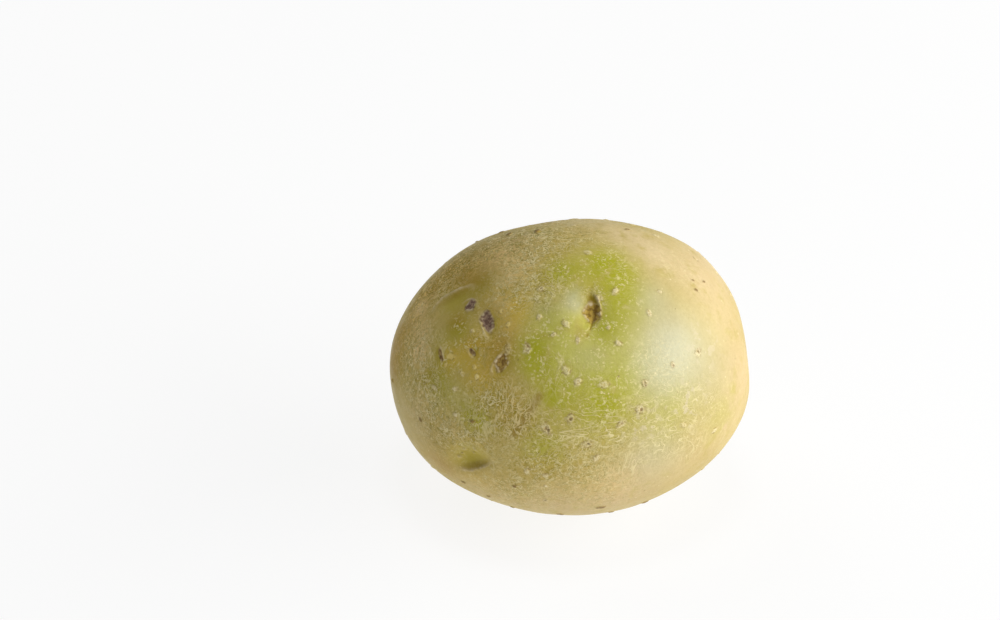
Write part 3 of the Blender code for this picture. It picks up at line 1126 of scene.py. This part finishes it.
# %% Set the shine and the bump
RELIEF = 0.12 * MM
WAX_COAT = 0.6
WAXIEST = 0.40
LEAST_WAXY = 0.50
FILM_DULLNESS = 0.16
THREAD_DULLNESS = 0.12
PEBBLE_RELIEF = 0.9
GRAIN_RELIEF = 1.5
BARE_GRAIN_RELIEF = 0.30
THREAD_RELIEF = 0.75
waxy = soft_step(skin_tree, fine_noise(3.0), 0.35, 0.65, low=WAXIEST, high=LEAST_WAXY)
rough = scaled(film, by=FILM_DULLNESS, plus=waxy)
rough = scaled(thread, by=THREAD_DULLNESS, plus=rough)
skin_tree.links.new(rough, skin_shader.inputs["Roughness"])
skin_tree.links.new(scaled(mask_of("pale"), by=WAX_COAT), skin_shader.inputs["Coat Weight"])
skin_shader.inputs["IOR"].default_value = 1.45
skin_shader.inputs["Specular IOR Level"].default_value = 0.17
skin_shader.inputs["Coat Roughness"].default_value = 0.32
skin_shader.inputs["Coat IOR"].default_value = 1.4
pebbles = scaled(fine_noise(1.4), by=PEBBLE_RELIEF)
grain_share = scaled(film, by=GRAIN_RELIEF, plus=BARE_GRAIN_RELIEF)
grain_height = product(skin_tree, grain, grain_share)
height = sums(skin_tree, "ADD", pebbles, grain_height)
height = scaled(thread, by=THREAD_RELIEF, plus=height)
bump = place(skin_tree, "ShaderNodeBump", {"Height": height, "Strength": 0.7, "Distance": RELIEF})
skin_tree.links.new(bump.outputs[0], skin_shader.inputs["Normal"])
mesh.materials.append(skin)
print("skin material:", len(skin_tree.nodes), "nodes")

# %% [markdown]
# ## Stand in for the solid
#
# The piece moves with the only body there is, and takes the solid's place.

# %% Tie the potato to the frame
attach(potato, "root")
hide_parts("potato_tuber")
print(potato.name, "stands in for", solid.name)

# %% [markdown]
# ## Table
#
# The potato lies on a white table top, so wide that its edge is never seen. It glows softly, which
# keeps it nearly white under dim lamps and keeps the potato's shadow faint.

# %% Set the table
TABLE_RADIUS = 3.0
TABLE_WHITE = 0.15
TABLE_GLOW = 0.86
table_mesh = bpy.data.meshes.new("table_top")
table_shape = bmesh.new()
bmesh.ops.create_circle(table_shape, cap_ends=True, segments=96, radius=TABLE_RADIUS)
table_shape.to_mesh(table_mesh)
table_shape.free()
table = bpy.data.objects.new("table_top", table_mesh)
bpy.context.scene.collection.objects.link(table)
table_paint = bpy.data.materials.new("table_white")
table_paint.use_nodes = True
table_shader = table_paint.node_tree.nodes["Principled BSDF"]
table_shader.inputs["Base Color"].default_value = (TABLE_WHITE, TABLE_WHITE, TABLE_WHITE, 1)
table_shader.inputs["Roughness"].default_value = 0.9
table_shader.inputs["Specular IOR Level"].default_value = 0.1
table_shader.inputs["Emission Color"].default_value = (1, 1, 1, 1)
table_shader.inputs["Emission Strength"].default_value = TABLE_GLOW
table_mesh.materials.append(table_paint)
print("table top:", 2 * TABLE_RADIUS, "m across")

# %% [markdown]
# ## Light
#
# Most of the light comes from a broad soft box low on the right, like a window, which rounds the
# potato off towards its left. A weak lamp behind lifts the far edge, and a small cool one hangs
# above. The way to each lamp is an azimuth, 0 at the near side and 90 at the stem end, and a
# height, both in degrees.

# %% Hang the lamps
def light_way(azimuth, height):
    azimuth = math.radians(azimuth)
    height = math.radians(height)
    flat = math.cos(height)
    return Vector((flat * math.sin(azimuth), -flat * math.cos(azimuth), math.sin(height)))


def soft_box(name, way, distance, size, watts, shade):
    lamp = bpy.data.lights.new(name, "AREA")
    lamp.shape = "RECTANGLE"
    lamp.size = size[0]
    lamp.size_y = size[1]
    lamp.energy = watts
    lamp.color = shade
    holder = bpy.data.objects.new(name, lamp)
    holder.location = middle + way * distance
    holder.rotation_euler = way.to_track_quat("Z", "Y").to_euler()
    bpy.context.scene.collection.objects.link(holder)
    print(name, "at", [round(c, 2) for c in holder.location], "m")


WARM_WHITE = (1.0, 0.99, 0.96)
WHITE = (1.0, 1.0, 1.0)
COOL_WHITE = (0.9, 0.96, 1.0)
soft_box("window_box", light_way(80, 24), 0.9, (1.3, 0.5), 11.6, WARM_WHITE)
soft_box("back_box", light_way(225, 50), 0.9, (0.6, 0.6), 2.0, WHITE)
soft_box("top_box", light_way(0, 85), 1.0, (0.25, 0.25), 1.6, COOL_WHITE)

# %% [markdown]
# ## Room
#
# The room round the table is white to look at, but it lights the potato only faintly: as a light
# from all sides it would wash the roundness out. A light path tells the two uses apart.

# %% Paint the room
ROOM_SEEN = (0.97, 0.97, 0.97)
ROOM_LIGHT = (0.95, 0.97, 1.0)
ROOM_STRENGTH = 0.03
world = bpy.data.worlds.new("studio")
world.use_nodes = True
room = world.node_tree
seen = room.nodes["Background"]
seen.inputs["Color"].default_value = (*ROOM_SEEN, 1)
dim = place(room, "ShaderNodeBackground", {"Color": ROOM_LIGHT, "Strength": ROOM_STRENGTH})
looked_at = place(room, "ShaderNodeLightPath").outputs["Is Camera Ray"]
choice = {0: looked_at, 1: dim.outputs[0], 2: seen.outputs[0]}
chosen = place(room, "ShaderNodeMixShader", choice)
room.links.new(chosen.outputs[0], room.nodes["World Output"].inputs["Surface"])
bpy.context.scene.world = world
bpy.context.scene.view_settings.view_transform = "Standard"
print("room:", len(room.nodes), "nodes")

# %% [markdown]
# ## Camera
#
# The camera looks down at about a third of a right angle, from far enough off for the potato to
# keep its true proportions. It aims to one side, which puts the potato to the right of the middle.

# %% Set up the camera
CAMERA_RISE = math.radians(34)
CAMERA_DISTANCE = 0.609
AIM_LEFT = 15.15 * MM
AIM_UP = 11.95 * MM
ahead = Vector((0, math.cos(CAMERA_RISE), -math.sin(CAMERA_RISE)))
up = Vector((0, math.sin(CAMERA_RISE), math.cos(CAMERA_RISE)))
aim = middle + Vector((-AIM_LEFT, 0, 0)) + AIM_UP * up
lens = bpy.data.cameras.new("camera")
lens.lens = 100
lens.sensor_width = 36
lens.clip_start = 0.01
camera = bpy.data.objects.new("camera", lens)
camera.location = aim - CAMERA_DISTANCE * ahead
camera.rotation_euler = ahead.to_track_quat("-Z", "Y").to_euler()
bpy.context.scene.collection.objects.link(camera)
bpy.context.scene.camera = camera
print("camera at, m:", [round(c, 3) for c in camera.location])
